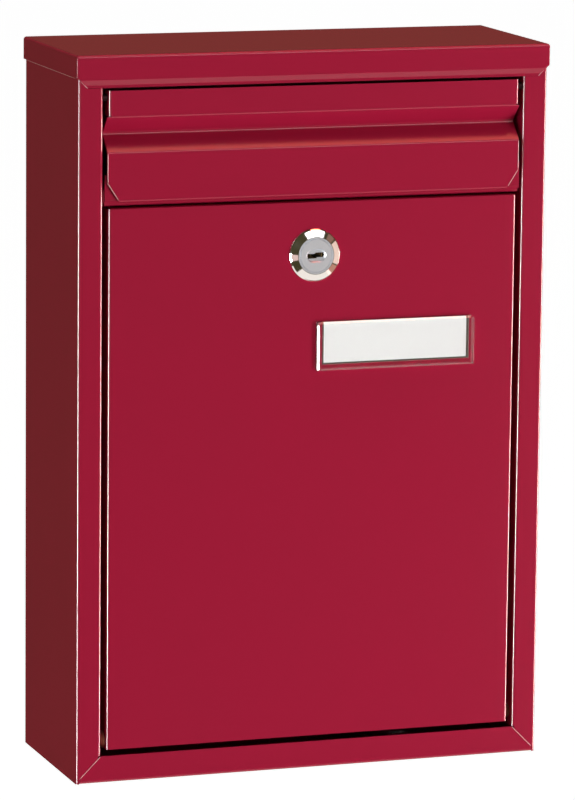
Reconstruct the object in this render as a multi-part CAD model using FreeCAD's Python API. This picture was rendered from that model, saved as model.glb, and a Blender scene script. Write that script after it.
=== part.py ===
import FreeCAD, Part
import math
import os

from FreeCAD import Vector

# Wall mounted post box of folded steel sheet, with a lift up letter flap and a drop down door.
# Millimetres. X runs to the right, Y towards the wall and Z up. The origin is the centre of the
# four wall fixing holes, on the back face of the box.

# Sheet
sheet = 0.8
bend = 0.4                  # inside radius of an ordinary fold
fold = sheet + bend         # outside radius of the same fold
seam = 0.1                  # open joint where two folded edges meet
corner_step = 0.35          # how far a flange stops short of the fold beside it

# Box
box_height = 300.0
box_width = 202.0           # over the side walls
box_depth = 76.5            # from the wall to the front frame
frame_side = 10.5           # width of the two upright front flanges
frame_foot = 11.2           # height of the bottom front flange
frame_return = 10.0         # depth of the frame's turned in edges
foot_end = 1.4              # the bottom flange stops this far inside the side wall
floor_lip = 12.0            # height of the floor's upturned lips
floor_lip_start = 2.0       # the side lips start this far behind the bottom flange
back_flange = 12.0          # depth of the back's flange under the cap
back_flange_end = 3.0       # the same flange stops this far inside the side walls

# Wall fixing holes
fixing_width = 120.0
fixing_height = 200.0
fixing_radius = 3.25

# Cap
skirt_side = 9.2
skirt_front = 9.9
cap_corner = 0.5            # outside radius of the cap's upright front corners
cap_inner_corner = 0.1      # inside radius of the same corners
cap_snip = 0.7              # its lower front corners are cut from this far above the side skirts
return_drop = 2.3           # height of the slant that leads back to the frame's plane
cap_lip = 1.1               # upright lip below the slant, flush with the frame

# Letter flap
flap_proud = 0.5            # how far its face stands in front of the frame
flap_height = 45.25
flap_head_gap = 1.15
strip_height = 10.6         # flat strip above the groove
groove_height = 14.45
groove_depth = 7.4
groove_bend = 1.2           # inside radius at the bottom of the groove
flap_side_gap = 1.8         # from the frame's edge to the main face
ear_side_gap = 2.2          # from the frame's edge to the ears of the top strip
ear_depth = 6.5
hem_side_gap = 1.0
hem_height = 11.0
hem_space = 0.4             # between the two layers of the hem
hem_corner_width = 5.2      # the front layer's lower corners are cut off at a slant
hem_corner_height = 8.0
flap_pivot_drop = 3.0       # below the flap's top edge
flap_pivot_depth = 2.6      # behind the flap's face

# Cross rail between flap and door
flap_stop_gap = 0.3
rail_web = 6.7              # how far its front web stands above its shelf
rail_over_door = 0.65
rail_depth = 10.2
rail_lip = 9.0
rail_end_gap = 1.2
rail_tab = 7.0              # welded tabs at the rail's ends

# Door
door_head_gap = 2.45
door_foot_gap = 2.3
door_side_gap = 2.4
door_flange = 9.0
door_pivot_height = 3.8     # above the door's bottom edge
door_pivot_depth = 5.0      # behind the door's face

# Pivot pins
door_pin_radius = 2.0
door_collar_radius = 3.7    # next to the door, narrowing towards the frame
door_collar_neck = 2.3
flap_pin_radius = 1.0
flap_collar_radius = 1.5
pin_play = 0.05             # radial running clearance
press_play = 0.02
end_play = 0.4              # between a collar and the sheet that turns beside it
pin_past = 1.8              # how far a pin passes through the sheet it carries
pin_tail = 0.4              # the pins are pressed into the frame's edge and end just behind it

# Lock
lock_drop = 22.15           # from the door's top edge to the lock's centre
bezel_radius = 10.85
bezel_rim = 0.5
bezel_edge = 0.5            # width, and height, of the steep bevel above the rim
bezel_proud = 2.1
bezel_face_radius = 7.8     # inner edge of the wide bevel
barrel_radius = 9.5
barrel_flats = 16.0
barrel_length = 14.0
barrel_play = 0.15
plug_head_radius = 7.6
plug_head_depth = 2.2
plug_radius = 6.2
plug_play = 0.08
plug_proud = 0.1
plug_ring_radius = 6.85     # fine groove turned in the plug's face
plug_ring_width = 0.3
plug_ring_depth = 0.3
key_recess_width = 8.4      # dish with round ends
key_recess_height = 5.6
key_recess_depth = 0.7
key_recess_slope = 0.6      # how far the dish's side leans in
key_slot_width = 7.2
key_slot_height = 1.9
key_slot_step = 0.5         # the slot's right half sits this much higher than its left
key_slot_overlap = 0.4      # the two halves reach this far past the middle
key_slot_depth = 12.6
clip_width = 26.0
clip_height = 28.0
clip_thickness = 1.0
clip_groove = 0.8           # how deep the barrel's flats are grooved for the clip
clip_corner = 1.4

# Wafers and their springs, inside the plug
wafer_count = 4
wafer_pitch = 2.4
wafer_first = 1.6           # from the back of the plug's head to the first wafer's middle
wafer_width = 11.0
wafer_height = 5.2
wafer_thickness = 0.7
wafer_window_width = 6.6
wafer_window_height = 2.3
wafer_play = 0.05
wafer_lug_width = 1.4
wafer_lug_height = 1.7
spring_length = 3.2
spring_radius = 0.5
spring_wire = 0.2
spring_turns = 2
spring_steps = 6            # straight steps in each turn
spring_pocket_play = 0.15

# Cam
cam_thickness = 1.6
cam_hub_radius = 8.0
cam_tip_radius = 5.5
cam_length = 21.5           # from the lock's centre to the tip
cam_square = 7.0
cam_play = 0.1
boss_short = 0.1            # the square boss ends this far inside the cam
screw_radius = 2.0
screw_length = 5.5
screw_head_radius = 3.6
screw_head_height = 2.2
cross_width = 0.9
cross_length = 4.2
cross_depth = 1.2
washer_radius = 4.6
washer_thickness = 0.8

# Name holder
name_width = 69.0
name_height = 20.3
name_drop = 59.95           # from the door's top edge to the holder's centre
name_thickness = 2.4
name_edge = 0.8             # bevel round its front
name_corner = 1.5
name_left = 1.0             # the holder starts this far right of the lock's middle
name_rim = 0.4              # the back touches the door along this rim only
name_hollow = 0.12
card_width = 62.4
card_height = 16.5
card_thickness = 0.3
card_play = 0.1
card_head_gap = 0.55
card_aside = 0.25           # the card lies this far left of its pocket's middle
backing_thickness = 0.25    # dark tray behind the card, clipped in the door
pocket_width = 64.4
pocket_height = 17.4
lug_width = 1.6
lug_height = 6.0
lug_reach = 2.0
lug_hook = 0.5
lug_play = 0.1
lug_inset = 9.0             # from the holder's ends to the middle of the tray's lugs

# Places worked out from the sizes above
base_z = -box_height / 2
top_z = box_height / 2
wall_top_z = top_z - fold   # below the rounded inside of the cap's edges
lid_z = top_z - sheet
front_y = -box_depth
half_width = box_width / 2
open_half = half_width - frame_side
return_y = front_y + frame_return
foot_z = base_z + frame_foot

cap_half = half_width + sheet
cap_front_y = front_y - sheet
skirt_z = top_z - skirt_side
skirt_fold_z = top_z - skirt_front
slant_z = skirt_fold_z - return_drop
head_z = slant_z - cap_lip

flap_y = front_y - flap_proud
flap_top_z = head_z - flap_head_gap
flap_foot_z = flap_top_z - flap_height
groove_top_z = flap_top_z - strip_height
groove_foot_z = groove_top_z - groove_height
flap_half = open_half - flap_side_gap
ear_half = open_half - ear_side_gap
hem_half = open_half - hem_side_gap
hem_back_y = flap_y + 2 * sheet + hem_space
flap_axis_y = flap_y + flap_pivot_depth
flap_axis_z = flap_top_z - flap_pivot_drop

door_top_z = flap_foot_z - door_head_gap
door_foot_z = foot_z + door_foot_gap
door_half = open_half - door_side_gap
door_back_y = front_y + sheet
door_flange_y = front_y + door_flange
door_axis_y = front_y + door_pivot_depth
door_axis_z = door_foot_z + door_pivot_height

rail_y = hem_back_y + flap_stop_gap
rail_z = door_top_z + rail_over_door
rail_top_z = rail_z + rail_web
rail_back_y = rail_y + rail_depth

lock_z = door_top_z - lock_drop
barrel_y = front_y + barrel_length
cam_y = barrel_y
cam_back_y = cam_y + cam_thickness
washer_back_y = cam_back_y + washer_thickness
bezel_face_y = front_y - bezel_proud
plug_face_y = bezel_face_y - plug_proud
plug_seat_y = bezel_face_y + plug_head_depth
wafer_ys = [plug_seat_y + wafer_first + index * wafer_pitch for index in range(wafer_count)]
spring_x = wafer_lug_width / 2
wafer_top_z = lock_z + wafer_height / 2 + wafer_lug_height
spring_z = wafer_top_z - wafer_lug_height / 2

name_x = name_left + name_width / 2
name_z = door_top_z - name_drop
name_face_y = front_y - name_thickness
backing_y = front_y - backing_thickness
card_y = backing_y - card_thickness
card_x = name_x - card_aside
card_top_z = name_z + name_height / 2 - card_head_gap
pocket_top_z = card_top_z + card_play

SECTIONS = {
    "xy": (Vector(1, 0, 0), Vector(0, 1, 0), Vector(0, 0, 1)),
    "yz": (Vector(0, 1, 0), Vector(0, 0, 1), Vector(1, 0, 0)),
    "xz": (Vector(1, 0, 0), Vector(0, 0, 1), Vector(0, 1, 0)),
}


def block(x_range, y_range, z_range):
    """Plain box between two corners."""
    (x0, x1), (y0, y1), (z0, z1) = x_range, y_range, z_range
    return Part.makeBox(x1 - x0, y1 - y0, z1 - z0, Vector(x0, y0, z0))


def rod(radius, start, end):
    """Round bar from one point to another."""
    return Part.makeCylinder(radius, (end - start).Length, start, end - start)


def prism(section, corners, start, end):
    """Straight prism on a polygon drawn in one section plane."""
    across, up, along = SECTIONS[section]
    points = [across * a + up * b + along * start for a, b in corners]
    return Part.Face(Part.makePolygon(points + points[:1])).extrude(along * (end - start))


def turned(profile, x, y, z):
    """Solid turned about an axis along Y, from pairs of radius and depth."""
    points = [Vector(radius, depth, 0) for radius, depth in profile]
    face = Part.Face(Part.makePolygon(points + points[:1]))
    solid = face.revolve(Vector(0, 0, 0), Vector(0, 1, 0), 360)
    solid.translate(Vector(x, y, z))
    return solid


def folded(section, start, end, skin, bends):
    """Sheet folded along an open outline. The outline is its skin, with the metal on the right."""
    across, up, along = SECTIONS[section]

    def place(point):
        return across * point.x + up * point.y + along * start

    def line(edges, a, b):
        if (b - a).Length > 1e-6:
            edges.append(Part.makeLine(place(a), place(b)))

    def arc(edges, a, middle, b):
        edges.append(Part.Arc(place(a), place(middle), place(b)).toShape())

    skin = [Vector(a, b, 0) for a, b in skin]
    runs = [(b - a).normalize() for a, b in zip(skin, skin[1:])]
    rights = [Vector(run.y, -run.x, 0) for run in runs]
    outside, inside = [], []
    last_out, last_in = skin[0], skin[0] + rights[0] * sheet
    for index, radius in enumerate(bends):
        run, next_run = runs[index], runs[index + 1]
        right, next_right = rights[index], rights[index + 1]
        turns_right = run.x * next_run.y - run.y * next_run.x < 0
        skin_radius = radius + sheet if turns_right else radius
        back_radius = radius if turns_right else radius + sheet
        reach = skin_radius * math.tan(run.getAngle(next_run) / 2)
        corner = skin[index + 1]
        out_a, out_b = corner - run * reach, corner + next_run * reach
        in_a, in_b = out_a + right * sheet, out_b + next_right * sheet
        centre = out_a + right * (skin_radius if turns_right else -skin_radius)
        towards = (corner - centre).normalize()
        line(outside, last_out, out_a)
        arc(outside, out_a, centre + towards * skin_radius, out_b)
        line(inside, last_in, in_a)
        arc(inside, in_a, centre + towards * back_radius, in_b)
        last_out, last_in = out_b, in_b
    line(outside, last_out, skin[-1])
    line(inside, last_in, skin[-1] + rights[-1] * sheet)
    line(outside, skin[-1], skin[-1] + rights[-1] * sheet)
    line(inside, skin[0] + rights[0] * sheet, skin[0])
    wire = Part.Wire(Part.__sortEdges__(outside + inside))
    return Part.Face(wire).extrude(along * (end - start))


def whole(shape):
    """One clean solid from a fused or cut shape."""
    shape = shape.removeSplitter()
    return shape.Solids[0] if len(shape.Solids) == 1 else shape


def both_sides(shape):
    """A piece's right hand feature with its mirror image."""
    return [shape, shape.mirror(Vector(0, 0, 0), Vector(1, 0, 0))]


def pivot_holes(axis_y, axis_z, radius, x_range):
    """Two holes along X through sheets on the left and right."""
    hole = rod(radius, Vector(x_range[0], axis_y, axis_z), Vector(x_range[1], axis_y, axis_z))
    return both_sides(hole)


def foot_mitre(gap):
    """Outline of the bottom flange in the front view, from its right end round to its left."""
    end = half_width - foot_end + gap
    start = open_half + gap
    drop = end - start
    right = [(start, foot_z + gap), (end, foot_z + gap - drop), (end, base_z - gap)]
    return right + [(-x, z) for x, z in reversed(right)]


def head_mitre(gap):
    """Outline of the cap's slant and lip in the front view, open above."""
    top = top_z + skirt_front
    outer = cap_half + gap
    edge_z = skirt_z + cap_snip
    inner_z = head_z - gap
    inner = outer - (edge_z - inner_z)
    right = [(inner, inner_z), (outer + top - edge_z, top)]
    return right + [(-x, z) for x, z in reversed(right)]


def housing_shell():
    """Back, side walls and upright front flanges with their turned in edges."""
    right = [(half_width, 0), (half_width, front_y), (open_half, front_y), (open_half, return_y)]
    skin = [(-x, y) for x, y in reversed(right)] + right
    shell = folded("xy", base_z, wall_top_z, skin, [bend] * (len(skin) - 2))
    cuts = [
        prism("xz", head_mitre(seam), front_y - 1, front_y + fold),
        block((-open_half - fold, open_half + fold), (front_y - 1, return_y + 1),
              (head_z - seam, top_z)),
        prism("xz", foot_mitre(seam), front_y - 1, front_y + sheet),
        block((-open_half - fold, open_half + fold), (front_y - 1, return_y + 1),
              (base_z - 1, foot_z + seam)),
    ]
    flange_half = half_width - back_flange_end
    cuts.append(block((-flange_half, flange_half), (-sheet - 1, 1), (lid_z - fold, top_z)))
    for x in (-fixing_width / 2, fixing_width / 2):
        for z in (-fixing_height / 2, fixing_height / 2):
            cuts.append(rod(fixing_radius, Vector(x, -sheet - 1, z), Vector(x, 1, z)))
    span = (open_half - 1, open_half + sheet + 1)
    cuts += pivot_holes(door_axis_y, door_axis_z, door_pin_radius + press_play, span)
    cuts += pivot_holes(flap_axis_y, flap_axis_z, flap_pin_radius + press_play, span)
    shell = shell.cut(cuts)
    skin = [(-back_flange, lid_z), (0, lid_z), (0, lid_z - 2 * fold)]
    return whole(shell.fuse(folded("yz", -flange_half, flange_half, skin, [bend])))


def base_pan():
    """Floor with upturned lips, and the bottom front flange with mitred ends."""
    inner = half_width - sheet
    end = half_width - foot_end
    skin = [(front_y, foot_z), (front_y, base_z), (-sheet, base_z), (-sheet, base_z + floor_lip)]
    skin = [(y, z) for y, z in reversed(skin)]
    floor = folded("yz", -end, end, skin, [bend, bend])
    skin = [(-inner, base_z + floor_lip), (-inner, base_z), (inner, base_z),
            (inner, base_z + floor_lip)]
    skin = list(reversed(skin))
    lips = folded("xz", front_y + floor_lip_start, -sheet - corner_step - fold, skin, [bend, bend])
    outside = block((-half_width, half_width), (front_y - 1, front_y + fold), (base_z, top_z))
    trim = outside.cut(prism("xz", foot_mitre(0), front_y - 2, front_y + 2 * fold))
    return whole(floor.cut(trim).fuse(lips))


def top_cap():
    """Lid with lapped side skirts, a front skirt, and the slant and lip below that."""

    def tray(half, front, top, foot, corner, edge):
        solid = block((-half, half), (front, sheet), (foot, top))
        upright = [e for e in solid.Edges
                   if all(abs(v.Y - front) < 1e-6 for v in e.Vertexes)
                   and abs(e.Vertexes[0].X - e.Vertexes[1].X) < 1e-6]
        solid = solid.makeFillet(corner, upright)
        rim = [e for e in solid.Edges
               if all(abs(v.Z - top) < 1e-6 for v in e.Vertexes)
               and min(v.Y for v in e.Vertexes) < sheet - 1e-6]
        return solid.makeFillet(edge, rim)

    outer = tray(cap_half, cap_front_y, top_z, skirt_z, cap_corner, fold)
    inner = tray(half_width, front_y, lid_z, skirt_z - 1, cap_inner_corner, bend)
    behind = block((-cap_half - 1, cap_half + 1), (0, 1 + sheet), (skirt_z - 1, top_z + 1))
    corners = block((-cap_half - 1, cap_half + 1), (cap_front_y - 1, front_y),
                    (skirt_z - 1, top_z))
    corners = corners.cut(prism("xz", head_mitre(0), cap_front_y - 2, front_y + 1))
    lid = outer.cut([inner, behind, corners])
    skin = [(front_y, head_z), (front_y, slant_z), (cap_front_y, skirt_fold_z),
            (cap_front_y, skirt_z + fold)]
    lower = folded("yz", -cap_half, cap_half, skin, [bend, bend])
    lower = lower.common(tray(cap_half, cap_front_y, top_z, head_z - 1, cap_corner, fold))
    lower = lower.common(prism("xz", head_mitre(0), cap_front_y - 1, front_y + fold))
    return whole(lid.fuse(lower))


def cross_rail():
    """Rail between flap and door: the flap's stop, a shelf, and a lip that the cam catches."""
    half = open_half - rail_end_gap
    skin = [(rail_y, rail_top_z), (rail_y, rail_z), (rail_back_y, rail_z),
            (rail_back_y, rail_z - rail_lip)]
    skin = [(y, z) for y, z in reversed(skin)]
    rail = folded("yz", -half, half, skin, [bend, bend])
    skin = [(open_half, rail_y + rail_tab), (open_half, rail_y), (-open_half, rail_y),
            (-open_half, rail_y + rail_tab)]
    tabs = folded("xy", rail_z + fold + corner_step, rail_top_z, skin, [bend, bend])
    return whole(rail.fuse(tabs))


def letter_flap():
    """Flap folded from one sheet: top strip with ears, V groove, main face and a closed hem."""
    hem_bend = (hem_back_y - flap_y) / 2 - sheet
    skin = [(hem_back_y, flap_foot_z + hem_height), (hem_back_y, flap_foot_z),
            (flap_y, flap_foot_z), (flap_y, groove_foot_z),
            (flap_y + groove_depth, (groove_foot_z + groove_top_z) / 2),
            (flap_y, groove_top_z), (flap_y, flap_top_z)]
    flap = folded("yz", -hem_half, hem_half, skin, [hem_bend, hem_bend, bend, groove_bend, bend])
    middle_y = (flap_y + hem_back_y) / 2
    hem_top_z = flap_foot_z + hem_height
    past = hem_half + 1
    cuts = both_sides(block((flap_half, past), (flap_y - 1, hem_back_y + groove_depth),
                            (hem_top_z, groove_top_z)))
    cuts += both_sides(block((flap_half, past), (flap_y - 1, middle_y), (flap_foot_z, hem_top_z)))
    cuts += both_sides(block((ear_half - fold, past), (flap_y - 1, hem_back_y),
                             (groove_top_z, flap_top_z + 1)))
    slant = [(flap_half - hem_corner_width, flap_foot_z - 1), (past, flap_foot_z - 1),
             (past, flap_foot_z + hem_corner_height), (flap_half, flap_foot_z + hem_corner_height),
             (flap_half - hem_corner_width, flap_foot_z)]
    cuts += both_sides(prism("xz", slant, flap_y - 1, middle_y))
    flap = flap.cut(cuts)
    skin = [(ear_half, flap_y + ear_depth), (ear_half, flap_y), (-ear_half, flap_y),
            (-ear_half, flap_y + ear_depth)]
    ears = folded("xy", groove_top_z + bend, flap_top_z, skin, [bend, bend])
    span = (ear_half - sheet - 1, ear_half + 1)
    holes = pivot_holes(flap_axis_y, flap_axis_z, flap_pin_radius + pin_play, span)
    return whole(flap.fuse(ears).cut(holes))


def stepped_pin(side, axis_y, axis_z, steps):
    """Pin along X on one side of the box, from X and the radius at both ends of each step."""
    bars = []
    for start, start_radius, end, end_radius in steps:
        place = Vector(side * start, axis_y, axis_z)
        along = Vector(side * (end - start), 0, 0)
        if start_radius == end_radius:
            bars.append(rod(start_radius, place, place + along))
        else:
            bars.append(Part.makeCone(start_radius, end_radius, end - start, place, along))
    return whole(bars[0].fuse(bars[1:]))


def door_pivot(side):
    """Shouldered pin pressed into the frame's turned in edge, with its tip in the door's flange."""
    tail = open_half + sheet + pin_tail
    return stepped_pin(side, door_axis_y, door_axis_z, [
        (door_half - sheet - pin_past, door_pin_radius, tail, door_pin_radius),
        (door_half + end_play, door_collar_radius, open_half, door_collar_neck),
    ])


def flap_pivot(side):
    """Shouldered pin pressed into the frame's turned in edge, with its tip in the flap's ear."""
    tail = open_half + sheet + pin_tail
    return stepped_pin(side, flap_axis_y, flap_axis_z, [
        (ear_half - sheet - pin_past, flap_pin_radius, tail, flap_pin_radius),
        (ear_half + end_play, flap_collar_radius, open_half, flap_collar_radius),
    ])


def double_d(radius, flats, y_range):
    """Round bar along Y with two upright flats, about the lock's centre."""
    bar = rod(radius, Vector(0, y_range[0], lock_z), Vector(0, y_range[1], lock_z))
    slab = block((-flats / 2, flats / 2), y_range, (lock_z - radius, lock_z + radius))
    return bar.common(slab)


def lug_centres():
    """Middle of each of the tray's lugs, along X."""
    return (name_left + lug_inset, name_left + name_width - lug_inset)


def door_panel():
    """Door folded as a shallow pan, with the lock's hole and slots for the tray's lugs."""
    skin = [(door_half, door_flange_y), (door_half, front_y), (-door_half, front_y),
            (-door_half, door_flange_y)]
    sides = folded("xy", door_foot_z + corner_step, door_top_z - corner_step, skin, [bend, bend])
    skin = [(door_flange_y, door_foot_z), (front_y, door_foot_z), (front_y, door_top_z),
            (door_flange_y, door_top_z)]
    ends = folded("yz", -door_half + fold, door_half - fold, skin, [bend, bend])
    through = (front_y - 1, door_back_y + 1)
    cuts = [double_d(barrel_radius + barrel_play, barrel_flats + 2 * barrel_play, through)]
    wide = lug_width / 2 + lug_play
    tall = lug_height / 2 + lug_play
    for x in lug_centres():
        cuts.append(block((x - wide, x + wide), through, (name_z - tall, name_z + tall)))
    span = (door_half - sheet - 1, door_half + 1)
    cuts += pivot_holes(door_axis_y, door_axis_z, door_pin_radius + pin_play, span)
    return whole(sides.fuse(ends).cut(cuts))


def lock_housing():
    """Bezel and barrel of the lock, in one casting."""
    bore = plug_radius + plug_play
    seat = plug_head_radius + plug_play
    profile = [(bore, barrel_length), (barrel_radius, barrel_length), (barrel_radius, 0),
               (bezel_radius, 0), (bezel_radius, -bezel_rim),
               (bezel_radius - bezel_edge, -bezel_rim - bezel_edge),
               (bezel_face_radius, -bezel_proud),
               (seat, -bezel_proud), (seat, plug_head_depth - bezel_proud),
               (bore, plug_head_depth - bezel_proud)]
    body = turned(profile, 0, front_y, lock_z)
    flats = both_sides(block((barrel_flats / 2, bezel_radius), (front_y, barrel_y + 1),
                             (lock_z - bezel_radius, lock_z + bezel_radius)))
    grooves = both_sides(block((barrel_flats / 2 - clip_groove, bezel_radius),
                               (door_back_y, door_back_y + clip_thickness),
                               (lock_z - bezel_radius, lock_z + bezel_radius)))
    return whole(body.cut(flats + grooves))


def lock_clip():
    """Spring clip pushed over the barrel's grooves, tight against the door's back."""
    y_range = (door_back_y, door_back_y + clip_thickness)
    slot_half = barrel_flats / 2 - clip_groove
    plate = block((-clip_width / 2, clip_width / 2), y_range,
                  (lock_z - clip_height / 2, lock_z + clip_height / 2))
    corners = [e for e in plate.Edges if abs(e.Vertexes[0].Y - e.Vertexes[1].Y) > 1e-6]
    plate = plate.makeFillet(clip_corner, corners)
    slot = block((-slot_half, slot_half), y_range, (lock_z - clip_height, lock_z))
    eye = rod(barrel_radius + barrel_play, Vector(0, y_range[0], lock_z),
              Vector(0, y_range[1], lock_z))
    eye = eye.common(block((-slot_half, slot_half), y_range, (lock_z - clip_height, top_z)))
    return whole(plate.cut([slot, eye]))


def key_dish():
    """Shallow dish with round ends and leaning sides, round the keyway."""

    def outline(lean, y):
        radius = key_recess_height / 2 - lean
        reach = (key_recess_width - key_recess_height) / 2
        top, low = lock_z + radius, lock_z - radius
        edges = []
        for x, side in ((reach, 1), (-reach, -1)):
            end = Vector(x + side * radius, y, lock_z)
            edges.append(Part.Arc(Vector(x, y, top), end, Vector(x, y, low)).toShape())
        edges += [Part.makeLine(Vector(-reach, y, z), Vector(reach, y, z)) for z in (top, low)]
        return Part.Wire(Part.__sortEdges__(edges))

    floor_y = plug_face_y + key_recess_depth
    return Part.makeLoft([outline(0, plug_face_y), outline(key_recess_slope, floor_y)], True, True)


def lock_plug():
    """Turning plug with the keyway in front and a square boss behind."""
    head_end = plug_seat_y - plug_face_y
    ring_half = plug_ring_width / 2
    profile = [(0, 0), (plug_ring_radius - ring_half, 0), (plug_ring_radius, plug_ring_depth),
               (plug_ring_radius + ring_half, 0), (plug_head_radius, 0),
               (plug_head_radius, head_end), (plug_radius, head_end),
               (plug_radius, barrel_y - plug_face_y), (0, barrel_y - plug_face_y)]
    body = turned(profile, 0, plug_face_y, lock_z)
    half = cam_square / 2
    boss = block((-half, half), (barrel_y, cam_back_y - boss_short), (lock_z - half, lock_z + half))
    cuts = [key_dish()]
    for x_range, lift in (((-key_slot_width / 2, key_slot_overlap), -key_slot_step / 2),
                          ((-key_slot_overlap, key_slot_width / 2), key_slot_step / 2)):
        cuts.append(block(x_range, (plug_face_y, plug_face_y + key_slot_depth),
                          (lock_z + lift - key_slot_height / 2,
                           lock_z + lift + key_slot_height / 2)))
    cuts.append(rod(screw_radius, Vector(0, washer_back_y - screw_length, lock_z),
                    Vector(0, cam_back_y, lock_z)))
    thick = wafer_thickness / 2 + wafer_play
    tall = wafer_height / 2 + wafer_play
    pocket = spring_radius + spring_wire / 2 + spring_pocket_play
    for y in wafer_ys:
        cuts.append(block((-plug_head_radius, plug_head_radius), (y - thick, y + thick),
                          (lock_z - tall, lock_z + tall)))
        cuts.append(block((-spring_x - spring_pocket_play, spring_x + spring_length + wafer_play),
                          (y - pocket, y + pocket), (lock_z, wafer_top_z + wafer_play)))
    return whole(body.fuse(boss).cut(cuts))


def lock_wafers():
    """Flat wafers across the plug, each with a window for the key and a lug for its spring."""
    wafers = []
    for y in wafer_ys:
        y_range = (y - wafer_thickness / 2, y + wafer_thickness / 2)

        def centred(width, height):
            return block((-width / 2, width / 2), y_range,
                         (lock_z - height / 2, lock_z + height / 2))

        lug = block((-spring_x, spring_x), y_range, (lock_z, wafer_top_z))
        window = centred(wafer_window_width, wafer_window_height)
        wafers.append(whole(centred(wafer_width, wafer_height).fuse(lug).cut(window)))
    return Part.makeCompound(wafers)


def coil(x, y, z):
    """Small compression spring along X, its coil drawn in short straight steps."""
    steps = spring_turns * spring_steps
    rise = (spring_length - spring_wire) / steps
    points = []
    for step in range(steps + 1):
        angle = math.tau * step / spring_steps
        points.append(Vector(x + spring_wire / 2 + rise * step,
                             y + spring_radius * math.cos(angle),
                             z + spring_radius * math.sin(angle)))
    path = Part.makePolygon(points)
    half = spring_wire / 2
    first = points[1] - points[0]
    out = Vector(0, 1, 0)
    side = first.cross(out).normalize() * half
    out = side.cross(first).normalize() * half
    corners = [points[0] + side + out, points[0] + side - out, points[0] - side - out,
               points[0] - side + out]
    section = Part.makePolygon(corners + corners[:1])
    return Part.Wire(path).makePipeShell([section], True, False, 1)


def wafer_springs():
    return Part.makeCompound([coil(spring_x, y, spring_z) for y in wafer_ys])


def lock_cam():
    """Flat tongue on the plug's square boss, pointing left while the door is free to open."""
    reach = cam_length - cam_tip_radius
    y_range = (cam_y, cam_back_y)

    def disc(x, radius):
        return rod(radius, Vector(x, cam_y, lock_z), Vector(x, cam_back_y, lock_z))

    lean = math.asin((cam_hub_radius - cam_tip_radius) / reach)
    sine, cosine = math.sin(lean), math.cos(lean)
    edge = [(-cam_hub_radius * sine, cam_hub_radius * cosine),
            (-reach - cam_tip_radius * sine, cam_tip_radius * cosine)]
    outline = edge + [(x, -z) for x, z in reversed(edge)]
    arm = prism("xz", [(x, lock_z + z) for x, z in outline], *y_range)
    half = cam_square / 2 + cam_play
    hole = block((-half, half), y_range, (lock_z - half, lock_z + half))
    return whole(arm.fuse([disc(0, cam_hub_radius), disc(-reach, cam_tip_radius)]).cut(hole))


def cam_washer():
    profile = [(screw_radius + cam_play, 0), (washer_radius, 0), (washer_radius, washer_thickness),
               (screw_radius + cam_play, washer_thickness)]
    return turned(profile, 0, cam_back_y, lock_z)


def cam_screw():
    """Pan head screw with a cross recess."""
    shank = screw_radius - press_play
    shoulder = screw_head_radius - screw_head_height / 3
    profile = [(0, -screw_length), (shank, -screw_length), (shank, 0), (screw_head_radius, 0),
               (screw_head_radius, screw_head_height / 2), (shoulder, screw_head_height),
               (0, screw_head_height)]
    screw = turned(profile, 0, washer_back_y, lock_z)
    y_range = (washer_back_y + screw_head_height - cross_depth, washer_back_y + screw_head_height)
    long, wide = cross_length / 2, cross_width / 2
    cross = [block((-long, long), y_range, (lock_z - wide, lock_z + wide)),
             block((-wide, wide), y_range, (lock_z - long, lock_z + long))]
    return whole(screw.cut(cross))


def name_window():
    """Clear cover of the name holder, bonded to the door by its rim, with a pocket behind it."""
    left, right = name_left, name_left + name_width
    low, high = name_z - name_height / 2, name_z + name_height / 2
    plate = block((left, right), (name_face_y, front_y), (low, high))
    upper = [e for e in plate.Edges
             if abs(e.Vertexes[0].Y - e.Vertexes[1].Y) > 1e-6 and e.Vertexes[0].Z > name_z]
    plate = plate.makeFillet(name_corner, upper)
    rim = [e for e in plate.Edges if all(abs(v.Y - name_face_y) < 1e-6 for v in e.Vertexes)]
    plate = plate.makeChamfer(name_edge, rim)
    pocket = block((name_x - pocket_width / 2, name_x + pocket_width / 2),
                   (card_y - card_play, front_y), (pocket_top_z - pocket_height, pocket_top_z))
    hollow = block((left + name_rim, right - name_rim), (front_y - name_hollow, front_y),
                   (low + name_rim, high - name_rim))
    return whole(plate.cut([pocket, hollow]))


def name_backing():
    """Dark tray behind the card, with two hooked lugs through the door."""
    half = pocket_width / 2 - card_play
    tray = block((name_x - half, name_x + half), (backing_y, front_y),
                 (pocket_top_z - pocket_height + card_play, card_top_z))
    for x in lug_centres():
        side = 1 if x > name_x else -1
        x_range = (x - lug_width / 2, x + lug_width / 2)
        z_range = (name_z - lug_height / 2, name_z + lug_height / 2)
        stem = block(x_range, (backing_y, door_back_y + lug_reach), z_range)
        tip = x - side * lug_width / 2
        catch_y = door_back_y + lug_play
        nose = [(tip, catch_y), (tip - side * (lug_hook + lug_play), catch_y),
                (tip, door_back_y + lug_reach)]
        tray = tray.fuse([stem, prism("xy", nose, *z_range)])
    return whole(tray)


def name_card():
    """Blank card between the tray and the clear cover."""
    return block((card_x - card_width / 2, card_x + card_width / 2), (card_y, backing_y),
                 (card_top_z - card_height, card_top_z))


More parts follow.
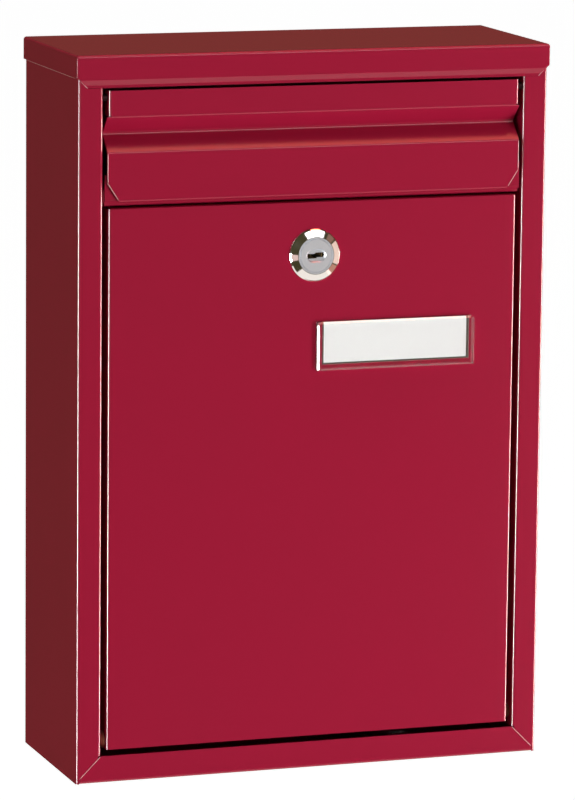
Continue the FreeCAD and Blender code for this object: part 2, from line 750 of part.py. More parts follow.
nodes = {
    "housing_shell": housing_shell(),
    "base_pan": base_pan(),
    "top_cap": top_cap(),
    "cross_rail": cross_rail(),
    "letter_flap": letter_flap(),
    "flap_pivot_left": flap_pivot(-1),
    "flap_pivot_right": flap_pivot(1),
    "door_panel": door_panel(),
    "door_pivot_left": door_pivot(-1),
    "door_pivot_right": door_pivot(1),
    "lock_housing": lock_housing(),
    "lock_clip": lock_clip(),
    "lock_plug": lock_plug(),
    "lock_wafers": lock_wafers(),
    "wafer_springs": wafer_springs(),
    "lock_cam": lock_cam(),
    "cam_washer": cam_washer(),
    "cam_screw": cam_screw(),
    "name_window": name_window(),
    "name_backing": name_backing(),
    "name_card": name_card(),
}

os.makedirs("parts", exist_ok=True)
for name, shape in nodes.items():
    box = shape.BoundBox
    print(f"{name:18} solids {len(shape.Solids)} valid {shape.isValid()} volume {shape.Volume:10.2f}"
          f"  x {box.XMin:8.2f} {box.XMax:8.2f}  y {box.YMin:8.2f} {box.YMax:8.2f}"
          f"  z {box.ZMin:8.2f} {box.ZMax:8.2f}")
    shape.exportStep(os.path.join("parts", name + ".step"))
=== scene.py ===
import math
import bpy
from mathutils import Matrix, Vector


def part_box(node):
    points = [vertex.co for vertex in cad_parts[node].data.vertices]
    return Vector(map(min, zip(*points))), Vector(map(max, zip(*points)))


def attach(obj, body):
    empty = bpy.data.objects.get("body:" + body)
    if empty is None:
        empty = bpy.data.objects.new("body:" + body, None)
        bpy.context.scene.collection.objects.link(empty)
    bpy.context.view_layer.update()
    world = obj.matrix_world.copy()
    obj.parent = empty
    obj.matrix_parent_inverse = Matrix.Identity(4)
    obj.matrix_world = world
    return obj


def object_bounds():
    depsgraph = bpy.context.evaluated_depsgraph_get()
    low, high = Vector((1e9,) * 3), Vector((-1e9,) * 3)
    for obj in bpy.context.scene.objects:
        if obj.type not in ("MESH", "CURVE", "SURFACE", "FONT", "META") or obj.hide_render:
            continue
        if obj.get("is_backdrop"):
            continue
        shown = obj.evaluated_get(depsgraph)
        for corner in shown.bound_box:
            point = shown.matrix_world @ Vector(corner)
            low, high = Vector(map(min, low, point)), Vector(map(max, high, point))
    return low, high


bl_info = {
    "name": "Wall mounted post box",
    "version": (1, 0, 0),
    "blender": (4, 5, 0),
    "location": "View3D > Sidebar > Post Box",
    "description": "Paint, metals, name holder and studio for a folded steel post box",
    "category": "Object",
}

import bmesh
import bpy
from bpy.props import FloatProperty, FloatVectorProperty, PointerProperty
from mathutils import Matrix, Vector

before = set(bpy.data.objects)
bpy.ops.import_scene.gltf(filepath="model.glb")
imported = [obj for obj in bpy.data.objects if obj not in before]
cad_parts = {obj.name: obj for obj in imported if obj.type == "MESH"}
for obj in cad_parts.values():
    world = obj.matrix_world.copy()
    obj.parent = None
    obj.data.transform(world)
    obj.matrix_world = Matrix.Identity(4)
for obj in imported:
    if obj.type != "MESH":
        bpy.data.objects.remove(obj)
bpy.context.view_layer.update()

MM = 0.001

# Camera, as it stood for the photograph: its place in metres, and its lens and film in millimetres
CAMERA_PLACE = Vector((-0.6758, -2.0016, 0.3673))
CAMERA_HEADING = math.radians(19.05)
CAMERA_DIP = math.radians(10.06)
CAMERA_ROLL = math.radians(0.60)
CAMERA_LENS = 315.6
CAMERA_FILM = 36.0

# Lamps: name, bearing and rise in degrees, distance and size in metres, brightness and colour. The
# first ones light matt surfaces. The others only show in gloss, each where the lock's ring or plug,
# a fold or the groove mirrors it to the camera.
MATT_LAMPS = (
    ("key_softbox", 44, -12, 1.9, (0.9, 0.7), 17.9, "#FFFFFF"),
    ("side_softbox", -80, -18, 1.6, (0.9, 0.9), 3.1, "#FFFFFF"),
    ("top_softbox", 45, 84, 1.2, (0.5, 0.5), 11.5, "#FFFFFF"),
)
GLOSS_LAMPS = (
    ("brow_softbox", 20, 31, 1.9, (1.24, 0.5), 4.0, "#FFFFFF"),
    ("amber_softbox", 66, 70, 1.2, (0.4, 0.4), 5.6, "#FF7E62"),
    ("plug_softbox", -10, 10, 1.9, (0.35, 0.35), 42.0, "#FFFFFF"),
    ("left_strip", -70, -11, 1.6, (0.45, 0.6), 56.0, "#FFFFFF"),
    ("left_card", -26, -9, 1.6, (0.45, 0.34), 0.85, "#FFDAD6"),
    ("right_strip", 78, -11, 1.6, (0.3, 0.6), 75.0, "#FFE6E0"),
    ("right_high_card", 50, 20, 1.5, (0.34, 0.34), 0.25, "#FFBAAB"),
    ("right_card", 60, -3, 1.5, (0.4, 0.9), 1.0, "#FFDDCE"),
    ("right_low_card", 64, -29, 1.5, (0.4, 0.4), 0.55, "#FFAF9C"),
)

# The dim card that the clear window mirrors to the camera
WINDOW_CARD_BEARING = 19
WINDOW_CARD_RISE = -10

# How bright the floor's paper looks by itself, next to a white world
PAPER_GLOW = 0.85

# A bead of paint: its cross section as shares of its width and height, the shares of its length
# at which it is drawn, how steeply it grows from its ends, and how blunt they are
BEAD_SECTION = ((-0.5, 0.0), (-0.3, 0.7), (0.0, 1.0), (0.3, 0.7), (0.5, 0.0))
BEAD_STATIONS = (0.0, 0.04, 0.12, 0.5, 0.88, 0.96, 1.0)
BEAD_TAPER = 12
BEAD_BLUNT = 0.05

# Surface textures: their depth, and by how much the grain of a metal changes its roughness
METAL_GRAIN_DEPTH = 0.005 * MM
METAL_GRAIN_CHANGE = 0.2
MATT_GRAIN_DEPTH = 0.01 * MM

PAINTED = ("housing_shell", "base_pan", "top_cap", "cross_rail", "letter_flap", "door_panel")
FLAP_PINS = ("flap_pivot_left", "flap_pivot_right")
DOOR_PINS = ("door_pivot_left", "door_pivot_right")


def linear(hex_colour):
    """Linear colour with full alpha from an sRGB hex value."""
    channels = [int(hex_colour[i:i + 2], 16) / 255 for i in (1, 3, 5)]
    light = [c / 12.92 if c <= 0.04045 else ((c + 0.055) / 1.055) ** 2.4 for c in channels]
    return (*light, 1.0)


def add_node(tree, kind, values=None, links=None, **settings):
    """Adds a node: settings are its own options, values go to its inputs, links join its inputs."""
    node = tree.nodes.new(kind)
    for name, value in settings.items():
        setattr(node, name, value)
    for name, value in (values or {}).items():
        node.inputs[name].default_value = value
    for name, (source, output) in (links or {}).items():
        tree.links.new(source.outputs[output], node.inputs[name])
    return node


def new_material(name):
    """Empty node material with its tree and output node."""
    material = bpy.data.materials.new(name)
    material.use_nodes = True
    tree = material.node_tree
    tree.nodes.clear()
    return material, tree, add_node(tree, "ShaderNodeOutputMaterial")


def dress(node_names, material):
    """Gives CAD nodes a material."""
    for name in node_names:
        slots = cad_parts[name].material_slots
        if not slots:
            raise RuntimeError(f"{name} has no material slot")
        for slot in slots:
            slot.material = material


def stoved_enamel(look):
    """Stoved enamel on sheet steel, sprayed and baked."""
    # An even, deep red, with a faint orange peel that softens what it reflects
    material, tree, output = new_material("stoved_enamel")
    place = add_node(tree, "ShaderNodeTexCoord")
    peel = add_node(tree, "ShaderNodeTexNoise", {"Scale": 1 / look.peel_size, "Detail": 2.0},
                    {"Vector": (place, "Object")})
    cloud = add_node(tree, "ShaderNodeTexNoise", {"Scale": 1 / look.shade_size, "Detail": 3.0},
                     {"Vector": (place, "Object")})
    shade = add_node(tree, "ShaderNodeMixRGB", {"Color1": look.red, "Color2": look.red_deep},
                     {"Fac": (cloud, "Fac")})
    gloss = add_node(tree, "ShaderNodeMapRange",
                     {"To Min": look.roughness - look.roughness_change,
                      "To Max": look.roughness + look.roughness_change},
                     {"Value": (cloud, "Fac")})
    bump = add_node(tree, "ShaderNodeBump", {"Strength": 0.5, "Distance": look.peel_height},
                    {"Height": (peel, "Fac")})
    shader = add_node(tree, "ShaderNodeBsdfPrincipled", {"IOR": 1.5},
                      {"Base Color": (shade, "Color"), "Roughness": (gloss, "Result"),
                       "Normal": (bump, "Normal")})
    tree.links.new(shader.outputs["BSDF"], output.inputs["Surface"])
    return material


def painted_highlight_enamel(look):
    """Pale pink enamel for the paint beads, a painted highlight along the mitres and cut edges."""
    # Painted highlight: a paler, pinker line along the mitres and the cut edges of the flap and the
    # cap, standing in for the light these edges catch
    material, tree, output = new_material("painted_highlight_enamel")
    place = add_node(tree, "ShaderNodeTexCoord")
    cloud = add_node(tree, "ShaderNodeTexNoise", {"Scale": 1 / look.painted_highlight_size, "Detail": 3.0},
                     {"Vector": (place, "Object")})
    shade = add_node(tree, "ShaderNodeMixRGB", {"Color1": look.painted_highlight, "Color2": look.painted_highlight_deep},
                     {"Fac": (cloud, "Fac")})
    shader = add_node(tree, "ShaderNodeBsdfPrincipled", {"Roughness": 0.25, "IOR": 1.5},
                      {"Base Color": (shade, "Color")})
    tree.links.new(shader.outputs["BSDF"], output.inputs["Surface"])
    return material


def plated_metal(name, colour, roughness, grain_size):
    """Plated or bare metal, tumbled or turned, with grain of a size in metres."""
    # A fine grain that breaks up the highlights, the more so the rougher the metal is
    material, tree, output = new_material(name)
    place = add_node(tree, "ShaderNodeTexCoord")
    grain = add_node(tree, "ShaderNodeTexNoise", {"Scale": 1 / grain_size, "Detail": 3.0},
                     {"Vector": (place, "Object")})
    rough = add_node(tree, "ShaderNodeMapRange",
                     {"To Min": roughness * (1 - METAL_GRAIN_CHANGE),
                      "To Max": roughness * (1 + METAL_GRAIN_CHANGE)},
                     {"Value": (grain, "Fac")})
    bump = add_node(tree, "ShaderNodeBump", {"Strength": 0.3, "Distance": METAL_GRAIN_DEPTH},
                    {"Height": (grain, "Fac")})
    shader = add_node(tree, "ShaderNodeBsdfPrincipled", {"Base Color": colour, "Metallic": 1.0},
                      {"Roughness": (rough, "Result"), "Normal": (bump, "Normal")})
    tree.links.new(shader.outputs["BSDF"], output.inputs["Surface"])
    return material


def satin_nickel(look):
    """Satin nickel on the lock plug, with the keyway painted near black as shade."""
    # A dull silver face, and painted shade that makes the keyway look black
    material = plated_metal("satin_nickel", look.nickel, look.nickel_roughness,
                            grain_size=0.25 * MM)
    tree = material.node_tree
    low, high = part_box("lock_plug")
    length = high[1] - low[1]
    start, end = look.keyway_start / length, 1 - look.keyway_margin / length
    place = add_node(tree, "ShaderNodeTexCoord")
    depth = add_node(tree, "ShaderNodeSeparateXYZ", None, {"Vector": (place, "Generated")})
    # Painted shade: mask of the depth inside the keyway, where the colour turns near black
    inside = add_node(tree, "ShaderNodeMath", {1: (start + end) / 2, 2: (end - start) / 2},
                      {0: (depth, "Y")}, operation="COMPARE")
    shade = add_node(tree, "ShaderNodeMixRGB", {"Color1": look.nickel, "Color2": look.keyway},
                     {"Fac": (inside, "Value")})
    shader = next(node for node in tree.nodes if node.type == "BSDF_PRINCIPLED")
    tree.links.new(shade.outputs["Color"], shader.inputs["Base Color"])
    return material


def clear_styrene(look):
    """Clear moulded polystyrene."""
    # Glassy, with clean bright edges, and it dulls what lies behind it only a little
    material, tree, output = new_material("clear_styrene")
    shader = add_node(tree, "ShaderNodeBsdfPrincipled",
                      {"Base Color": look.plastic, "Roughness": 0.0, "IOR": 1.59,
                       "Transmission Weight": 1.0})
    tree.links.new(shader.outputs["BSDF"], output.inputs["Surface"])
    return material


def painted_shade_styrene(look):
    """Dark polystyrene, moulded with a fine matt texture, as a painted shade round the card."""
    # Painted shade: a near black brown line round the card, where its edge and the pocket lie in
    # shade, with no clear highlight
    material, tree, output = new_material("painted_shade_styrene")
    place = add_node(tree, "ShaderNodeTexCoord")
    spark = add_node(tree, "ShaderNodeTexNoise", {"Scale": 1 / look.spark_size, "Detail": 3.0},
                     {"Vector": (place, "Object")})
    shade = add_node(tree, "ShaderNodeMixRGB", {"Color1": look.tray, "Color2": look.tray_worn},
                     {"Fac": (spark, "Fac")})
    bump = add_node(tree, "ShaderNodeBump", {"Strength": 0.4, "Distance": MATT_GRAIN_DEPTH},
                    {"Height": (spark, "Fac")})
    shader = add_node(tree, "ShaderNodeBsdfPrincipled", {"Roughness": 0.55, "IOR": 1.59},
                      {"Base Color": (shade, "Color"), "Normal": (bump, "Normal")})
    tree.links.new(shader.outputs["BSDF"], output.inputs["Surface"])
    return material


def white_card(look):
    """Uncoated white card."""
    # Flat and matt, with a faint fibre
    material, tree, output = new_material("uncoated_card")
    place = add_node(tree, "ShaderNodeTexCoord")
    fibre = add_node(tree, "ShaderNodeTexNoise", {"Scale": 1 / look.fibre_size, "Detail": 4.0},
                     {"Vector": (place, "Object")})
    shade = add_node(tree, "ShaderNodeMixRGB", {"Color1": look.card, "Color2": look.card_fibre},
                     {"Fac": (fibre, "Fac")})
    bump = add_node(tree, "ShaderNodeBump", {"Strength": 0.4, "Distance": MATT_GRAIN_DEPTH},
                    {"Height": (fibre, "Fac")})
    shader = add_node(tree, "ShaderNodeBsdfPrincipled", {"Roughness": 0.8, "IOR": 1.45},
                      {"Base Color": (shade, "Color"), "Normal": (bump, "Normal")})
    tree.links.new(shader.outputs["BSDF"], output.inputs["Surface"])
    return material


def colour_property(name, description, hex_colour):
    return FloatVectorProperty(name=name, description=description, subtype="COLOR", size=4,
                               min=0.0, max=1.0, default=linear(hex_colour))


class PaintLook(bpy.types.PropertyGroup):
    """Sizes and colours of the paint"""

    red: colour_property("Red", "Enamel where the film is thick", "#9D1535")
    red_deep: colour_property("Deep red", "Enamel where the film is thin", "#991433")
    roughness: FloatProperty(name="Roughness", description="Mean roughness of the film",
                             default=0.17, min=0.0, max=1.0)
    roughness_change: FloatProperty(name="Roughness change", description="Its slow change",
                                    default=0.02, min=0.0, max=1.0)
    peel_size: FloatProperty(name="Peel size", description="Width of one orange peel dimple",
                             default=1.6 * MM, unit="LENGTH")
    peel_height: FloatProperty(name="Peel height", description="Height of the orange peel",
                               default=0.006 * MM, unit="LENGTH", precision=6)
    shade_size: FloatProperty(name="Shade size", description="Width of the film's slow changes",
                              default=60 * MM, unit="LENGTH")


class SeamLook(bpy.types.PropertyGroup):
    """Sizes of the paint beads on the mitres and on cut edges, and the colours of their painted
    highlight
    """

    # Painted highlight: these pale pink colours stand in for the light caught along the mitres and
    # cut edges
    painted_highlight: colour_property("Thread", "Enamel where it is thinnest", "#E9B4B6")
    painted_highlight_deep: colour_property("Deep thread", "Enamel where it is a little thicker", "#C47A84")
    painted_highlight_size: FloatProperty(name="Thread size", description="Length of its changes of colour",
                               default=2.0 * MM, unit="LENGTH")
    bead_width: FloatProperty(name="Bead width", description="Width of a bead of paint",
                              default=0.34 * MM, unit="LENGTH", precision=5)
    bead_height: FloatProperty(name="Bead height", description="How far a bead stands proud",
                               default=0.12 * MM, unit="LENGTH", precision=5)
    frame_side: FloatProperty(name="Frame side", description="Width of the upright flanges",
                              default=10.5 * MM, unit="LENGTH")
    frame_foot: FloatProperty(name="Frame foot", description="Height of the bottom flange",
                              default=11.2 * MM, unit="LENGTH")
    foot_end: FloatProperty(name="Foot end", description="From the side wall to the foot's end",
                            default=1.4 * MM, unit="LENGTH")
    head_start: FloatProperty(name="Head start", description="From the side wall to the cap's mitre",
                              default=4.0 * MM, unit="LENGTH")
    head_length: FloatProperty(name="Head length", description="Width of the cap's mitre",
                               default=2.9 * MM, unit="LENGTH")
    edge_width: FloatProperty(name="Edge width", description="Width of the bead on a cut edge",
                              default=0.6 * MM, unit="LENGTH", precision=5)
    edge_height: FloatProperty(name="Edge height", description="How far that bead hangs down",
                               default=0.3 * MM, unit="LENGTH", precision=5)
    skirt_height: FloatProperty(name="Skirt height", description="Height of the cap's side skirts",
                                default=9.2 * MM, unit="LENGTH")
    skirt_inset: FloatProperty(name="Skirt inset", description="From the skirt's ends to the bead",
                               default=1.5 * MM, unit="LENGTH")
    hem_side: FloatProperty(name="Hem side", description="From the hem's ends to its front layer",
                            default=0.8 * MM, unit="LENGTH")
    hem_width: FloatProperty(name="Hem width", description="Width of its cut corners",
                             default=5.2 * MM, unit="LENGTH")
    hem_height: FloatProperty(name="Hem height", description="Height of its cut corners",
                              default=8.0 * MM, unit="LENGTH")
    face_height: FloatProperty(name="Face height", description="From the hem to the groove",
                               default=20.0 * MM, unit="LENGTH")
    hem_fold: FloatProperty(name="Hem fold", description="From the flap's edge to the flat face",
                            default=1.0 * MM, unit="LENGTH")


class MetalLook(bpy.types.PropertyGroup):
    """Colours of the lock and the pins"""

    chrome: colour_property("Chrome", "Bright plating of the lock housing", "#E4E3E4")
    nickel: colour_property("Nickel", "Satin face of the lock plug", "#CFD3DA")
    nickel_roughness: FloatProperty(name="Nickel roughness", description="Of the satin face",
                                    default=0.42, min=0.0, max=1.0)
    # Painted shade: the near black keyway colour stands in for shade in the deep slot; the two
    # lengths below bound where it is painted
    keyway: colour_property("Keyway", "Bare, greased metal inside the keyway", "#0F0D0C")
    keyway_start: FloatProperty(name="Keyway start", description="Depth at which the nickel ends",
                                default=0.9 * MM, unit="LENGTH")
    keyway_margin: FloatProperty(name="Keyway margin", description="Plated length at the plug's tail",
                                 default=4 * MM, unit="LENGTH")
    zinc: colour_property("Zinc", "Clear passivated plating of the small steel parts", "#C6C9CC")
    # Painted highlight: the pinkish brown of the door's pins stands in for red enamel catching light
    pin_steel: colour_property("Pin steel", "Coppered steel of the door's pins", "#93614F")
    # Painted shade: the flap's pins are coloured dark to match the shade in the gaps they sit in
    flap_pin_shade: colour_property("Black steel", "Blackened steel of the flap's pins", "#2E1B1D")
    spring_steel: colour_property("Spring steel", "Bare hardened steel", "#73757A")
    brass: colour_property("Brass", "Stamped wafers", "#B89A6A")


class HolderLook(bpy.types.PropertyGroup):
    """Colours of the name holder"""

    plastic: colour_property("Plastic", "Tint of the clear window", "#FBFCFC")
    # Painted shade: the dark tray stands in for the shade round the card's edges
    tray: colour_property("Tray", "Dark tray behind the card", "#33201A")
    tray_worn: colour_property("Worn tray", "Paler grain of the tray", "#4A3229")
    spark_size: FloatProperty(name="Texture size", description="Size of the tray's moulded grain",
                              default=0.3 * MM, unit="LENGTH")
    card: colour_property("Card", "Face of the blank card", "#FAFAF9")
    card_fibre: colour_property("Card fibre", "Fibres in the card", "#F4F4F3")
    fibre_size: FloatProperty(name="Fibre size", description="Length of one paper fibre tuft",
                              default=0.8 * MM, unit="LENGTH")


class StudioLook(bpy.types.PropertyGroup):
    """Sizes and colours of the studio"""

    floor_drop: FloatProperty(name="Floor drop", description="From the box down to the floor",
                              default=0.85, unit="LENGTH")
    floor_size: FloatProperty(name="Floor size", description="Width of the floor",
                              default=80.0, unit="LENGTH")
    flag_reach: FloatProperty(name="Flag reach", description="From the box out to the flags",
                              default=2.0, unit="LENGTH")
    board_reach: FloatProperty(name="Board reach", description="From the box to the board's edges",
                               default=1.35, unit="LENGTH")
    card_reach: FloatProperty(name="Card reach",
                              description="Half the width of the dim card that the window shows",
                              default=0.5, unit="LENGTH")
    sheet_gap: FloatProperty(name="Sheet gap", description="Between floor, flags and board",
                             default=1.0 * MM, unit="LENGTH")
    flag_colour: colour_property("Flags", "Dim brown flags, seen in reflections only", "#48432B")
    board_colour: colour_property("Board", "Cream board on the floor, seen in reflections only",
                                  "#FFF7ED")
    board_glow: FloatProperty(name="Board glow", description="How bright the board looks",
                              default=1.12, min=0.0)
    floor_colour: colour_property("Floor", "Pale paper floor", "#E6E6E6")
    ambient: FloatProperty(name="Ambient", description="Light from all round",
                           default=0.18, min=0.0)


class POSTBOX_OT_painted_sheet(bpy.types.Operator):
    """Enamel the folded sheet parts"""

    bl_idname = "postbox.painted_sheet"
    bl_label = "Painted Sheet"

    def execute(self, context):
        dress(PAINTED, stoved_enamel(context.scene.postbox_paint))
        return {"FINISHED"}


def bead_mesh(name, lines, out, width, height):
    """Thin beads with round backs and pointed ends, which stand out from lines on a surface."""
    points, faces = [], []
    count = len(BEAD_SECTION)
    for start, end in lines:
        along = end - start
        across = along.cross(out).normalized()
        first = len(points)
        for share in BEAD_STATIONS:
            full = min(1.0, BEAD_TAPER * min(share, 1 - share) + BEAD_BLUNT) ** 0.5
            for side, lift in BEAD_SECTION:
                points.append(start + along * share + across * (side * width * full)
                              + out * (lift * height * full))
        for i in range(len(BEAD_STATIONS) - 1):
            row = first + i * count
            faces += [(row + j, row + j + 1, row + count + j + 1, row + count + j)
                      for j in range(count - 1)]
            faces.append((row, row + count, row + 2 * count - 1, row + count - 1))
        last = first + (len(BEAD_STATIONS) - 1) * count
        faces.append(tuple(range(first, first + count)))
        faces.append(tuple(range(last, last + count)))
    mesh = bpy.data.meshes.new(name)
    mesh.from_pydata(points, [], faces)
    shell = bmesh.new()
    shell.from_mesh(mesh)
    bmesh.ops.recalc_face_normals(shell, faces=shell.faces)
    shell.to_mesh(mesh)
    shell.free()
    mesh.shade_smooth()
    return mesh


def paint_beads(name, lines, out, width, height, material, body):
    """Beads along lines on one body, with their mirror images."""
    lines = lines + [(Vector((-b.x, b.y, b.z)), Vector((-a.x, a.y, a.z))) for a, b in lines]
    mesh = bead_mesh(name, lines, Vector(out), width, height)
    mesh.materials.append(material)
    beads = bpy.data.objects.new(name, mesh)
    bpy.context.scene.collection.objects.link(beads)
    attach(beads, body)


def mitre_lines(look):
    """Right hand mitres of the frame, at its foot and under the cap."""
    low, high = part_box("housing_shell")
    head_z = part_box("top_cap")[0][2]
    half, front_y = high[0], low[1]
    foot_x, foot_z = half - look.frame_side, low[2] + look.frame_foot
    foot = half - look.foot_end - foot_x
    head_x = half - look.head_start
    return [
        (Vector((foot_x, front_y, foot_z)), Vector((foot_x + foot, front_y, foot_z - foot))),
        (Vector((head_x, front_y, head_z)),
         Vector((head_x + look.head_length, front_y, head_z + look.head_length))),
    ]


def skirt_lines(look):
    """Lower edge of the cap's right skirt."""
    low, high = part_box("top_cap")
    x, z = high[0] - look.edge_width / 2, high[2] - look.skirt_height
    return [(Vector((x, low[1] + look.skirt_inset, z)), Vector((x, -look.skirt_inset, z)))]


def flap_lines(look):
    """Cut corner of the flap's hem, and the edge above it, on the right."""
    low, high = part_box("letter_flap")
    corner_x, face_y, foot_z = high[0] - look.hem_side, low[1], low[2]
    edge_x = corner_x - look.bead_width / 2
    slope = look.hem_width / look.hem_height
    return [
        (Vector((corner_x - look.hem_width + look.hem_fold * slope, face_y,
                 foot_z + look.hem_fold)),
         Vector((corner_x, face_y, foot_z + look.hem_height))),
        (Vector((edge_x, face_y, foot_z + look.hem_height)),
         Vector((edge_x, face_y, foot_z + look.face_height))),
    ]


class POSTBOX_OT_seam_beads(bpy.types.Operator):
    """Lay beads of paint along the mitres, the flap's cut edges and the cap's lower edges, coloured
    as a painted highlight
    """

    bl_idname = "postbox.seam_beads"
    bl_label = "Seam Beads"

    def execute(self, context):
        look = context.scene.postbox_seams
        material = painted_highlight_enamel(look)
        front, down = (0, -1, 0), (0, 0, -1)
        paint_beads("frame_beads", mitre_lines(look), front, look.bead_width, look.bead_height,
                    material, "box")
        paint_beads("skirt_beads", skirt_lines(look), down, look.edge_width, look.edge_height,
                    material, "box")
        paint_beads("hem_beads", flap_lines(look), front, look.bead_width, look.bead_height,
                    material, "flap")
        return {"FINISHED"}


class POSTBOX_OT_pivot_pins(bpy.types.Operator):
    """Finish the pins of the flap and the door"""

    bl_idname = "postbox.pivot_pins"
    bl_label = "Pivot Pins"

    def execute(self, context):
        look = context.scene.postbox_metal
        # Painted shade: near black red pins, dull, so that they are lost in the shaded gaps beside
        # the flap
        dress(FLAP_PINS,
              plated_metal("flap_pin_painted_shade", look.flap_pin_shade, roughness=0.5, grain_size=0.3 * MM))
        # Pinkish brown metal: its tint is a painted highlight, red enamel catching light, with a soft
        # glint in the gaps beside the door
        dress(DOOR_PINS,
              plated_metal("door_pin_painted_highlight", look.pin_steel, roughness=0.45,
                           grain_size=0.3 * MM))
        return {"FINISHED"}


class POSTBOX_OT_cam_lock(bpy.types.Operator):
    """Finish the cam lock's housing, plug, wafers, clip and cam"""

    bl_idname = "postbox.cam_lock"
    bl_label = "Cam Lock"

    def execute(self, context):
        look = context.scene.postbox_metal
        # Chromed casting: a mirror, with hardly any grain
        dress(["lock_housing"],
              plated_metal("chromed_zinc_casting", look.chrome, roughness=0.07,
                           grain_size=2 * MM))
        dress(["lock_plug"], satin_nickel(look))
        # Stamped brass: yellow, with a satin face
        dress(["lock_wafers"],
              plated_metal("stamped_brass", look.brass, roughness=0.3, grain_size=0.3 * MM))
        # Bare spring steel: dark grey, with narrow highlights
        dress(["lock_clip", "wafer_springs"],
              plated_metal("spring_steel", look.spring_steel, roughness=0.35,
                           grain_size=0.3 * MM))
        # Bright zinc plate: pale and a little blue, with a fine grain
        dress(["lock_cam", "cam_washer", "cam_screw"],
              plated_metal("bright_zinc_plate", look.zinc, roughness=0.3, grain_size=0.4 * MM))
        return {"FINISHED"}


class POSTBOX_OT_name_holder(bpy.types.Operator):
    """Make the name holder clear, its tray dark as a painted shade round the card, and its card white
    """

    bl_idname = "postbox.name_holder"
    bl_label = "Name Holder"

    def execute(self, context):
        look = context.scene.postbox_holder
        dress(["name_window"], clear_styrene(look))
        dress(["name_backing"], painted_shade_styrene(look))
        dress(["name_card"], white_card(look))
        return {"FINISHED"}


def backdrop_share(tree):
    """One where a camera, glossy or transmitted ray looks at the backdrop, and else zero."""
    path = add_node(tree, "ShaderNodeLightPath")
    seen = add_node(tree, "ShaderNodeMath", None,
                    {0: (path, "Is Camera Ray"), 1: (path, "Is Glossy Ray")}, operation="MAXIMUM")
    return add_node(tree, "ShaderNodeMath", None,
                    {0: (seen, "Value"), 1: (path, "Is Transmission Ray")}, operation="MAXIMUM")


def white_surround(scene, ambient):
    """World that looks white and lights evenly from all round."""
    world = bpy.data.worlds.new("white_surround")
    scene.world = world
    world.use_nodes = True
    tree = world.node_tree
    tree.nodes.clear()
    share = backdrop_share(tree)
    strength = add_node(tree, "ShaderNodeMapRange", {"To Min": ambient, "To Max": 1.0},
                        {"Value": (share, "Value")})
    light = add_node(tree, "ShaderNodeBackground", {"Color": linear("#FFFFFF")},
                     {"Strength": (strength, "Result")})
    add_node(tree, "ShaderNodeOutputWorld", None, {"Surface": (light, "Background")})


def paper_floor(look):
    """Pale paper that looks white and still takes a soft shadow."""
    material, tree, output = new_material("pale_paper")
    share = backdrop_share(tree)
    glow = add_node(tree, "ShaderNodeMath", {1: PAPER_GLOW}, {0: (share, "Value")},
                    operation="MULTIPLY")
    paper = add_node(tree, "ShaderNodeBsdfDiffuse", {"Color": look.floor_colour})
    white = add_node(tree, "ShaderNodeEmission", {"Color": linear("#FFFFFF")},
                     {"Strength": (glow, "Value")})
    both = add_node(tree, "ShaderNodeAddShader", None, {0: (paper, "BSDF"), 1: (white, "Emission")})
    tree.links.new(both.outputs["Shader"], output.inputs["Surface"])
    return material


def glow_only(name, colour, brightness=1.0):
    """Plain card of one brightness."""
    material, tree, output = new_material(name)
    card = add_node(tree, "ShaderNodeEmission", {"Color": colour, "Strength": brightness})
    tree.links.new(card.outputs["Emission"], output.inputs["Surface"])
    return material


def stage_mesh(name, points, faces, material):
    """Mesh object of the studio."""
    mesh = bpy.data.meshes.new(name)
    mesh.from_pydata(points, [], faces)
    mesh.materials.append(material)
    thing = bpy.data.objects.new(name, mesh)
    bpy.context.scene.collection.objects.link(thing)
    thing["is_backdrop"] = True
    return thing


def square(reach, height):
    """Corners of a level square round the box's origin."""
    return [(-reach, -reach, height), (reach, -reach, height), (reach, reach, height),
            (-reach, reach, height)]


def stand(thing, bearing, rise, distance):
    """Stands a lamp or card where it faces the box. Bearing is how far right of the box's front
    that is and rise how far above it, in degrees."""
    turn, lift = math.radians(bearing), math.radians(rise)
    low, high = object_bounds()
    away = Vector((math.sin(turn) * math.cos(lift), -math.cos(turn) * math.cos(lift),
                   math.sin(lift)))
    place = Matrix.Translation((low + high) / 2 + away * distance)
    thing.matrix_world = place @ away.to_track_quat("Z", "Y").to_matrix().to_4x4()


def softbox(name, bearing, rise, distance, size, brightness, colour, matt):
    """Area lamp that lights matt surfaces, or else only shows in gloss. Brightness is how bright
    its face looks in a mirror."""
    lamp = bpy.data.lights.new(name, "AREA")
    lamp.shape = "RECTANGLE"
    lamp.size, lamp.size_y = size
    lamp.energy = brightness * math.pi * size[0] * size[1]
    lamp.color = linear(colour)[:3]
    thing = bpy.data.objects.new(name, lamp)
    bpy.context.scene.collection.objects.link(thing)
    stand(thing, bearing, rise, distance)
    thing.visible_camera = False
    thing.visible_diffuse = matt
    thing.visible_glossy = not matt
    thing.visible_transmission = False


def photo_camera(scene):
    """Camera at the photograph's place, with its long lens."""
    camera = bpy.data.cameras.new("photo_camera")
    camera.sensor_fit = "HORIZONTAL"
    camera.sensor_width = CAMERA_FILM
    camera.lens = CAMERA_LENS
    camera.clip_start = 0.1
    camera.clip_end = 200.0
    thing = bpy.data.objects.new("photo_camera", camera)
    scene.collection.objects.link(thing)
    turn = (Matrix.Rotation(-CAMERA_HEADING, 4, "Z")
            @ Matrix.Rotation(math.pi / 2 - CAMERA_DIP, 4, "X")
            @ Matrix.Rotation(CAMERA_ROLL, 4, "Z"))
    thing.matrix_world = Matrix.Translation(CAMERA_PLACE) @ turn
    scene.camera = thing


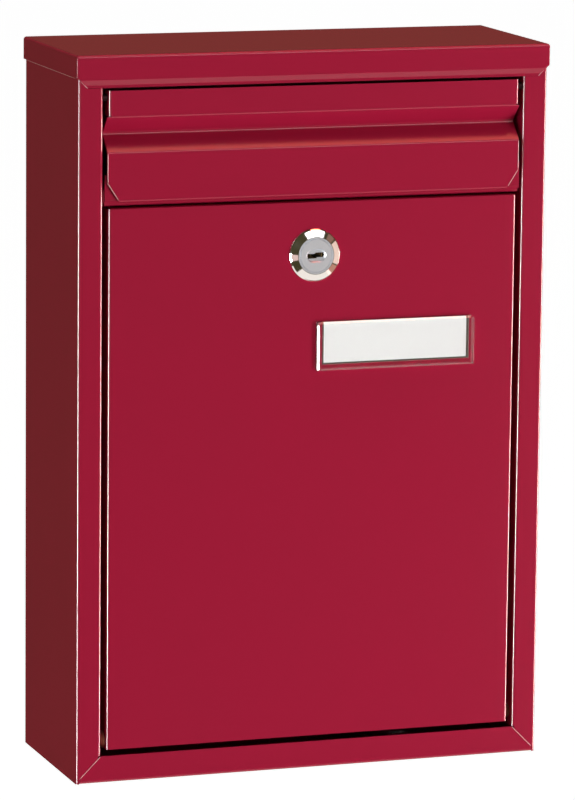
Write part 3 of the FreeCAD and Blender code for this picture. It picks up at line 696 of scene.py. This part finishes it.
class POSTBOX_OT_studio(bpy.types.Operator):
    """Set up the floor, flags, lamps and camera"""

    bl_idname = "postbox.studio"
    bl_label = "Studio"

    def execute(self, context):
        scene = context.scene
        look = scene.postbox_studio
        scene.view_settings.view_transform = "Standard"
        white_surround(scene, look.ambient)
        floor_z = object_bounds()[0].z - look.floor_drop
        sheet = [(0, 1, 2, 3)]
        stage_mesh("floor", square(look.floor_size / 2, floor_z), sheet, paper_floor(look))
        reach = look.flag_reach
        sides = [(i, (i + 1) % 4, (i + 1) % 4 + 4, i + 4) for i in range(4)]
        flags = stage_mesh("flags", square(reach, floor_z + look.sheet_gap) + square(reach, reach),
                           sides + [(0, 1, 2, 3), (4, 5, 6, 7)],
                           glow_only("dim_flag_cloth", look.flag_colour))
        board = stage_mesh("board", square(look.board_reach, floor_z + 2 * look.sheet_gap), sheet,
                           glow_only("cream_board", look.board_colour, look.board_glow))
        card = stage_mesh("window_card", square(look.card_reach, 0), sheet,
                          glow_only("dim_card", look.flag_colour))
        stand(card, WINDOW_CARD_BEARING, WINDOW_CARD_RISE, reach)
        for thing in (flags, board, card):
            thing.visible_camera = False
            thing.visible_diffuse = False
            thing.visible_shadow = False
        flags.visible_transmission = False
        for lamp in MATT_LAMPS:
            softbox(*lamp, matt=True)
        for lamp in GLOSS_LAMPS:
            softbox(*lamp, matt=False)
        photo_camera(scene)
        return {"FINISHED"}


LOOKS = {
    "postbox_paint": PaintLook,
    "postbox_seams": SeamLook,
    "postbox_metal": MetalLook,
    "postbox_holder": HolderLook,
    "postbox_studio": StudioLook,
}
STEPS = (POSTBOX_OT_painted_sheet, POSTBOX_OT_seam_beads, POSTBOX_OT_pivot_pins,
         POSTBOX_OT_cam_lock, POSTBOX_OT_name_holder, POSTBOX_OT_studio)


class POSTBOX_PT_panel(bpy.types.Panel):
    """Lists the steps that dress the post box"""

    bl_idname = "POSTBOX_PT_panel"
    bl_label = "Post Box"
    bl_space_type = "VIEW_3D"
    bl_region_type = "UI"
    bl_category = "Post Box"

    def draw(self, context):
        for name, look in LOOKS.items():
            column = self.layout.column()
            for key in look.__annotations__:
                column.prop(getattr(context.scene, name), key)
        for step in STEPS:
            self.layout.operator(step.bl_idname)


def register():
    for look in LOOKS.values():
        bpy.utils.register_class(look)
    for name, look in LOOKS.items():
        setattr(bpy.types.Scene, name, PointerProperty(type=look))
    for step in STEPS:
        bpy.utils.register_class(step)
    bpy.utils.register_class(POSTBOX_PT_panel)


def unregister():
    bpy.utils.unregister_class(POSTBOX_PT_panel)
    for step in reversed(STEPS):
        bpy.utils.unregister_class(step)
    for name, look in LOOKS.items():
        delattr(bpy.types.Scene, name)
        bpy.utils.unregister_class(look)


def main():
    register()
    bpy.ops.postbox.painted_sheet()
    bpy.ops.postbox.seam_beads()
    bpy.ops.postbox.pivot_pins()
    bpy.ops.postbox.cam_lock()
    bpy.ops.postbox.name_holder()
    bpy.ops.postbox.studio()


if __name__ == "__main__":
    main()
